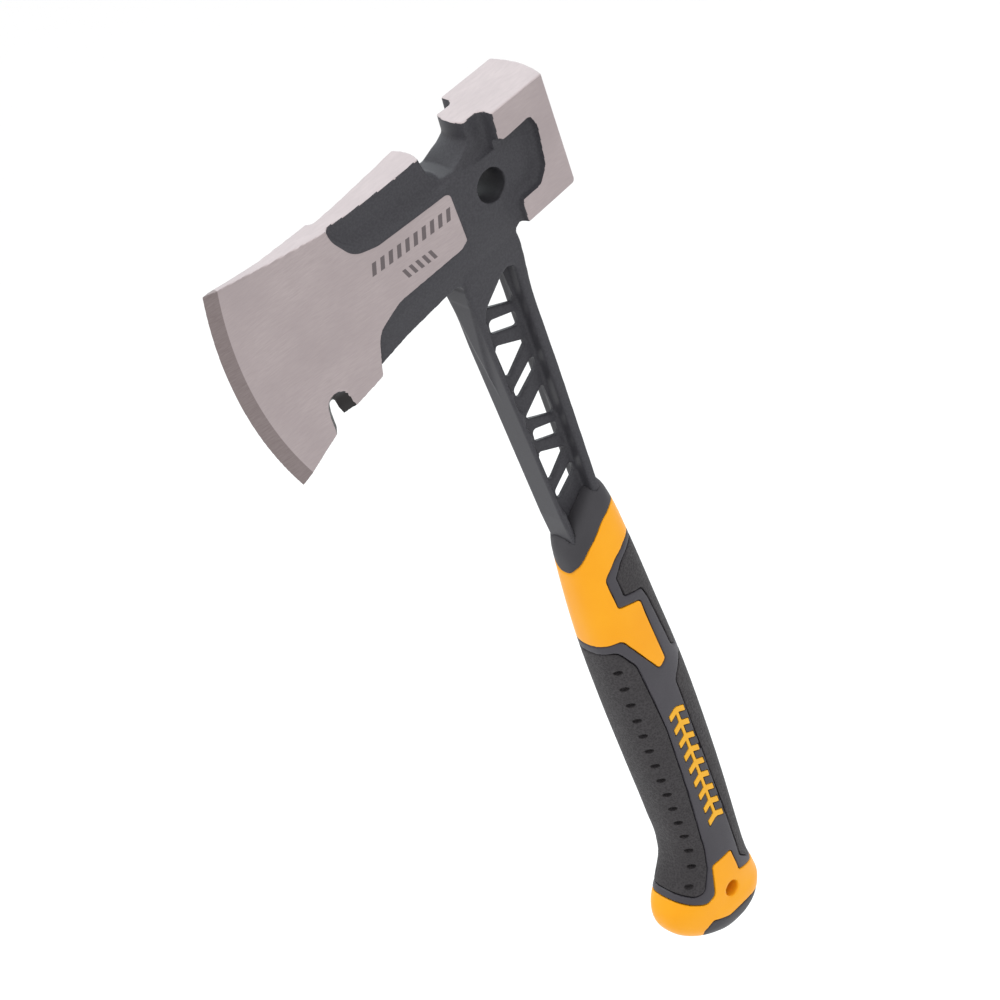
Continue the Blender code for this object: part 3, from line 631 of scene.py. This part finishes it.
def tang_pocket(x, y, z):
    pocket = np.maximum(tang_side(x, z), np.abs(y) - TANG_HALF) - GAP
    for hole_x, hole_z in TANG_HOLES:
        pocket = np.maximum(pocket, TANG_HOLE_RADIUS - GAP - np.hypot(x - hole_x, z - hole_z))
    return pocket


def core_field(x, y, z):
    grip = grip_field(x, y, z)
    neck = np.maximum(grip + COLLAR_DEPTH + GAP, above_neck(x, z))
    solid = without(grip, collar_foot(x, z), 0.5)
    solid = either(solid, neck, 0.2)
    solid = without(solid, pocket_in(sleeve_side(x, z), grip, SLEEVE_DEPTH), 0.5)
    solid = without(solid, pocket_in(butt_side(x, z), grip, BUTT_DEPTH), 0.4)
    solid = without(solid, tang_pocket(x, y, z), 0.2)
    return without(solid, np.hypot(x - LANYARD[0], z - LANYARD[1]) - LANYARD_RADIUS, 1.0)


def collar_field(x, y, z):
    grip = grip_field(x, y, z)
    neck = np.maximum(grip + COLLAR_DEPTH, above_neck(x, z) - GAP)
    solid = both(both(grip, above_collar(x, z), COLLAR_ROUND), collar_foot(x, z) + GAP, 0.5)
    return without(without(solid, neck, 0.2), forging_field(x, y, z) - 0.05, 0.1)


def sleeve_field(x, y, z):
    grip = grip_field(x, y, z)
    solid = both(both(grip, sleeve_side(x, z), 0.8), -(grip + SLEEVE_DEPTH), 0.2)
    for side in (front_side, upper_side, lower_side):
        solid = without(solid, pocket_in(side(x, z), grip, PAD_DEPTH), 0.7)
    return without(solid, pocket_in(mark_side(x, z), grip, MARK_DEPTH), 0.25)


def pad_field(side):
    def field(x, y, z):
        grip = grip_field(x, y, z)
        return both(both(grip, side(x, z), 0.8), -(grip + PAD_DEPTH), 0.2)
    return field


def dimple_level(number):
    """Height of a dimple: the row is a little closer set in its middle."""
    share = number / (DIMPLE_COUNT - 1)
    return DIMPLE_TOP_Z + (DIMPLE_BOTTOM_Z - DIMPLE_TOP_Z) * (share + DIMPLE_SPREAD * share * (1 - share))


def front_pad_field(x, y, z):
    solid = pad_field(front_side)(x, y, z)
    for number in range(DIMPLE_COUNT):
        level = dimple_level(number)
        place = section_point(level, DIMPLE_ANGLE)
        along = section_point(level, DIMPLE_ANGLE - 0.05) - place
        turn = math.atan2(along[1], along[0])
        dx, dy, dz = x - place[0], np.abs(y) - place[1], z - level
        near = np.abs(dz) < 3
        run = dx * math.cos(turn) + dy * math.sin(turn)
        rise = dy * math.cos(turn) - dx * math.sin(turn)
        oval = (np.sqrt((run / DIMPLE_HALF[0]) ** 2 + (dz / DIMPLE_HALF[2]) ** 2) - 1) * DIMPLE_HALF[2]
        hollow = both(oval + 0.12 * np.abs(rise), np.abs(rise) - DIMPLE_HALF[1], 0.5)
        solid = np.where(near, without(solid, hollow, 0.15), solid)
    return solid


def butt_field(x, y, z):
    grip = grip_field(x, y, z)
    return both(both(grip, butt_side(x, z), 0.7), -(grip + BUTT_DEPTH), 0.3)


def mark_field(x, y, z):
    grip = grip_field(x, y, z)
    return both(both(grip - 0.12, mark_side(x, z), 0.25), -(grip + MARK_DEPTH), 0.1)


def grip_piece(name, node, field, step, side=0):
    low, high = (np.array(corner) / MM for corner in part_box(node))
    low, high = low - REACH_BELOW, high + REACH_ABOVE
    if side == 0:
        ys = mirrored(np.concatenate([[0.0], spread(step, high[1], step)]))
    else:
        ys = spread(low[1], high[1], step)
    points, quads = contour(field, spread(low[0], high[0], step), ys, spread(low[2], high[2], step))
    piece = mesh_piece(name, points, quads)
    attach(piece, "root")
    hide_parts(node)
    return piece


# Materials


class Nodes:
    """Short calls for making one material's nodes."""

    def __init__(self, name):
        self.material = bpy.data.materials.new(name)
        self.material.use_nodes = True
        self.tree = self.material.node_tree
        self.shader = self.tree.nodes["Principled BSDF"]
        self.place = self.add("ShaderNodeTexCoord").outputs["Object"]

    def add(self, kind, **settings):
        node = self.tree.nodes.new(kind)
        for key, value in settings.items():
            setattr(node, key, value)
        return node

    def join(self, socket, value):
        if isinstance(value, bpy.types.NodeSocket):
            self.tree.links.new(value, socket)
        else:
            socket.default_value = value

    def math(self, operation, *values):
        node = self.add("ShaderNodeMath", operation=operation)
        for socket, value in zip(node.inputs, values):
            self.join(socket, value)
        return node.outputs[0]

    def scaled(self, scale, turn=(0.0, 0.0, 0.0)):
        node = self.add("ShaderNodeMapping")
        self.join(node.inputs["Vector"], self.place)
        node.inputs["Scale"].default_value = scale
        node.inputs["Rotation"].default_value = turn
        return node.outputs[0]

    def noise(self, scale, detail=3.0, roughness=0.5, vector=None):
        node = self.add("ShaderNodeTexNoise")
        self.join(node.inputs["Vector"], vector or self.place)
        node.inputs["Scale"].default_value = scale
        node.inputs["Detail"].default_value = detail
        node.inputs["Roughness"].default_value = roughness
        return node.outputs["Fac"]

    def cells(self, scale):
        node = self.add("ShaderNodeTexVoronoi")
        self.join(node.inputs["Vector"], self.place)
        node.inputs["Scale"].default_value = scale
        return node.outputs["Distance"]

    def level(self, value, low, high, to_low=0.0, to_high=1.0):
        node = self.add("ShaderNodeMapRange", clamp=True)
        for socket, number in zip(node.inputs, (value, low, high, to_low, to_high)):
            self.join(socket, number)
        return node.outputs[0]

    def mix(self, share, first, second):
        node = self.add("ShaderNodeMix", data_type="RGBA")
        for socket, value in zip((node.inputs[0], node.inputs[6], node.inputs[7]), (share, first, second)):
            self.join(socket, (*value, 1.0) if isinstance(value, tuple) else value)
        return node.outputs[2]

    def mixed_number(self, share, first, second):
        node = self.add("ShaderNodeMix", data_type="FLOAT")
        for socket, value in zip((node.inputs[0], node.inputs[2], node.inputs[3]), (share, first, second)):
            self.join(socket, value)
        return node.outputs[0]

    def within(self, value, low, high):
        """One where the value lies between the limits, else zero."""
        above = self.math("GREATER_THAN", value, low)
        below = self.math("LESS_THAN", value, high)
        return self.math("MULTIPLY", above, below)

    def corner(self, name):
        return self.add("ShaderNodeAttribute", attribute_name=name).outputs["Fac"]

    def bump(self, height, distance, strength=1.0):
        node = self.add("ShaderNodeBump")
        self.join(node.inputs["Height"], height)
        node.inputs["Distance"].default_value = distance
        node.inputs["Strength"].default_value = strength
        self.join(self.shader.inputs["Normal"], node.outputs["Normal"])

    def set(self, **values):
        for name, value in values.items():
            socket = self.shader.inputs[name.replace("_", " ")]
            self.join(socket, (*value, 1.0) if isinstance(value, tuple) else value)


def etched_bars(made, row):
    """Where a row of plain slanted bars is etched on the tongue of the blade."""
    low_x, high_x, low_z, high_z, pitch, slant = row
    split = made.add("ShaderNodeSeparateXYZ")
    made.join(split.inputs[0], made.place)
    x = made.math("DIVIDE", split.outputs[0], MM)
    z = made.math("DIVIDE", split.outputs[2], MM)
    run = made.math("ADD", x, made.math("MULTIPLY", z, slant))
    bar = made.math("LESS_THAN", made.math("FRACT", made.math("DIVIDE", run, pitch)), BAR_SHARE)
    return made.math("MULTIPLY", bar, made.math("MULTIPLY", made.within(run, low_x, high_x),
                                                made.within(z, low_z, high_z)))


def distance_from(made, x, z):
    """Distance in millimetres from the line along Y through this point."""
    flat = made.add("ShaderNodeVectorMath", operation="MULTIPLY_ADD")
    made.join(flat.inputs[0], made.place)
    flat.inputs[1].default_value = (1 / MM, 0.0, 1 / MM)
    flat.inputs[2].default_value = (-x, 0.0, -z)
    length = made.add("ShaderNodeVectorMath", operation="LENGTH")
    made.join(length.inputs[0], flat.outputs["Vector"])
    return length.outputs["Value"]


def steel_and_paint():
    """Ground steel on the blade and poll, black paint in the recesses and on the shank, with painted shade
    darkening the paint inside the eye hole and the nail notch.
    """
    made = Nodes("steel_and_paint")
    wander = made.noise(90.0, 4.0)
    ground = made.level(made.math("ADD", made.corner("ground"), made.level(wander, 0.3, 0.7, -0.05, 0.05)),
                        -0.06, 0.06)
    bevel = made.level(made.corner("bevel"), -0.08, 0.08)
    grain = made.noise(1.0, 5.0, 0.6, made.scaled((260.0, 900.0, 2600.0), (0.0, math.radians(14), 0.0)))
    blotch = made.noise(60.0, 3.0, 0.5)
    steel = made.mix(made.level(grain, 0.3, 0.7), (0.385, 0.330, 0.332), (0.465, 0.402, 0.404))
    steel = made.mix(made.level(blotch, 0.3, 0.7, 0.0, 0.5), steel, (0.355, 0.303, 0.308))
    dark = made.mix(made.level(grain, 0.3, 0.7), (0.205, 0.168, 0.166), (0.27, 0.228, 0.226))
    steel = made.mix(bevel, steel, dark)
    bars = made.math("MAXIMUM", *(etched_bars(made, row) for row in BAR_ROWS))
    bars = made.math("MULTIPLY", bars, made.level(made.corner("cheek"), 0.0, 0.3))
    steel = made.mix(made.math("MULTIPLY", bars, 0.85), steel, (0.105, 0.090, 0.094))
    speck = made.noise(1500.0, 2.0)
    paint = made.mix(made.level(speck, 0.35, 0.65), (0.045, 0.044, 0.050), (0.057, 0.056, 0.063))
    # Painted shade: the paint on the eye hole's walls is turned near black, as shade inside the hole.
    eye_hole_painted_shade = made.level(distance_from(made, 0.0, 0.0), 5.2, 5.9)
    paint = made.mix(eye_hole_painted_shade, (0.008, 0.008, 0.009), paint)
    # Painted shade: the paint on the nail notch's walls is darkened, as shade inside the notch.
    notch_painted_shade = made.level(distance_from(made, *NOTCH_CENTRE), 9.0, 10.0)
    paint = made.mix(notch_painted_shade, (0.024, 0.022, 0.022), paint)
    made.set(Base_Color=made.mix(ground, paint, steel), Metallic=ground)
    steel_rough = made.level(grain, 0.25, 0.75, 0.36, 0.50)
    paint_rough = made.level(speck, 0.3, 0.7, 0.38, 0.46)
    made.set(Roughness=made.mixed_number(ground, paint_rough, steel_rough))
    made.set(Specular_IOR_Level=PAINT_GLOSS)
    height = made.mixed_number(ground, made.math("MULTIPLY", speck, 0.5), grain)
    made.bump(height, 0.00006, 0.35)
    return made.material


def yellow_moulding():
    made = Nodes("yellow_moulding")
    blotch = made.noise(55.0, 3.0)
    fine = made.noise(2600.0, 2.0)
    made.set(Base_Color=made.mix(made.level(blotch, 0.3, 0.7), (0.87, 0.350, 0.006), (0.90, 0.385, 0.009)),
             Specular_IOR_Level=YELLOW_GLOSS)
    made.set(Roughness=made.level(fine, 0.3, 0.7, 0.34, 0.44))
    made.bump(fine, 0.00003, 0.3)
    return made.material


def yellow_mark():
    made = Nodes("yellow_mark")
    blotch = made.noise(300.0, 3.0)
    made.set(Base_Color=made.mix(made.level(blotch, 0.3, 0.7), (0.80, 0.40, 0.022), (0.86, 0.44, 0.03)),
             Specular_IOR_Level=YELLOW_GLOSS)
    made.set(Roughness=made.level(blotch, 0.3, 0.7, 0.38, 0.48))
    made.bump(made.noise(2400.0, 2.0), 0.00003, 0.3)
    return made.material


def smooth_black(name, tone, gloss):
    made = Nodes(name)
    blotch = made.noise(70.0, 4.0)
    fine = made.noise(2200.0, 3.0)
    darker = tuple(0.82 * value for value in tone)
    made.set(Base_Color=made.mix(made.level(blotch, 0.3, 0.7), darker, tone), Specular_IOR_Level=gloss)
    made.set(Roughness=made.level(fine, 0.3, 0.7, 0.44, 0.56))
    made.bump(fine, 0.00004, 0.4)
    return made.material


def textured_rubber():
    """Spark-eroded grain of the soft pads."""
    made = Nodes("textured_rubber")
    pebble = made.cells(1300.0)
    fine = made.noise(2800.0, 3.0, 0.6)
    blotch = made.noise(80.0, 3.0)
    grain = made.math("ADD", made.math("MULTIPLY", pebble, 0.8), made.math("MULTIPLY", fine, 0.5))
    tone = made.mix(made.level(grain, 0.25, 0.85), (0.011, 0.009, 0.011), (0.032, 0.028, 0.031))
    made.set(Base_Color=made.mix(made.level(blotch, 0.35, 0.65, 0.0, 0.5), tone, (0.021, 0.018, 0.020)))
    made.set(Roughness=made.level(grain, 0.2, 0.9, 0.82, 0.62))
    made.bump(grain, 0.00016, 0.8)
    return made.material


def floor_surface():
    made = Nodes("pale_floor")
    made.set(Base_Color=made.mix(made.noise(3.0), (0.96, 0.96, 0.96), (0.98, 0.98, 0.98)), Roughness=0.9)
    return made.material


def dress(piece, surface):
    piece.data.materials.clear()
    piece.data.materials.append(surface)


# Scene


def build_object():
    forging = forging_piece()
    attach(forging, "root")
    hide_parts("forging")
    dress(forging, steel_and_paint())
    yellow = yellow_moulding()
    collar_black = smooth_black("collar_black", (0.060, 0.058, 0.064), PAINT_GLOSS)
    sleeve_black = smooth_black("sleeve_black", (0.043, 0.039, 0.049), 0.5)
    rubber = textured_rubber()
    mark = yellow_mark()
    dress(grip_piece("core_detail", "grip_core", core_field, 0.62), yellow)
    dress(grip_piece("collar_detail", "grip_collar", collar_field, 0.5), collar_black)
    dress(grip_piece("sleeve_detail", "grip_sleeve", sleeve_field, 0.6), sleeve_black)
    dress(grip_piece("front_pad_detail", "front_pad", front_pad_field, 0.42), rubber)
    dress(grip_piece("upper_back_pad_detail", "upper_back_pad", pad_field(upper_side), 0.5), rubber)
    dress(grip_piece("lower_back_pad_detail", "lower_back_pad", pad_field(lower_side), 0.5), rubber)
    dress(grip_piece("butt_pad_detail", "butt_pad", butt_field, 0.5), collar_black)
    dress(grip_piece("mark_near_detail", "side_mark_near", mark_field, 0.34, -1), mark)
    dress(grip_piece("mark_far_detail", "side_mark_far", mark_field, 0.34, 1), mark)


def add_camera():
    data = bpy.data.cameras.new("camera")
    data.lens = CAMERA_LENS
    data.sensor_width = SENSOR
    data.clip_end = 20.0
    camera = bpy.data.objects.new("camera", data)
    right, up = Vector(CAMERA_RIGHT), Vector(CAMERA_UP)
    turn = Matrix((right, up, right.cross(up))).transposed().to_4x4()
    camera.matrix_world = Matrix.Translation(CAMERA_PLACE) @ turn
    bpy.context.scene.collection.objects.link(camera)
    bpy.context.scene.camera = camera


def add_light(name, target, place, size, power, tint):
    data = bpy.data.lights.new(name, "AREA")
    data.shape = "DISK"
    data.size = size
    data.energy = power
    data.color = tint
    light = bpy.data.objects.new(name, data)
    light.location = place
    light.rotation_euler = (Vector(target) - Vector(place)).to_track_quat("-Z", "Y").to_euler()
    bpy.context.scene.collection.objects.link(light)


def add_floor():
    """A wide pale floor, far enough below the object to take only a faint shadow."""
    mesh = bpy.data.meshes.new("floor")
    level = cad_low.z - FLOOR_DROP
    sides = ((-1, -1), (1, -1), (1, 1), (-1, 1))
    mesh.from_pydata([(FLOOR_HALF * x, FLOOR_HALF * y, level) for x, y in sides], [], [(0, 1, 2, 3)])
    mesh.materials.append(floor_surface())
    floor = bpy.data.objects.new("floor", mesh)
    bpy.context.scene.collection.objects.link(floor)


def add_world():
    world = bpy.data.worlds.new("studio")
    world.use_nodes = True
    background = world.node_tree.nodes["Background"]
    background.inputs["Color"].default_value = (1.0, 1.0, 1.0, 1.0)
    background.inputs["Strength"].default_value = 1.0
    bpy.context.scene.world = world


def main():
    build_object()
    add_floor()
    add_world()
    centre = (cad_low + cad_high) / 2
    for name, light in LIGHTS.items():
        add_light(name, centre, *light)
    add_camera()
    bpy.context.scene.view_settings.view_transform = "Standard"


main()
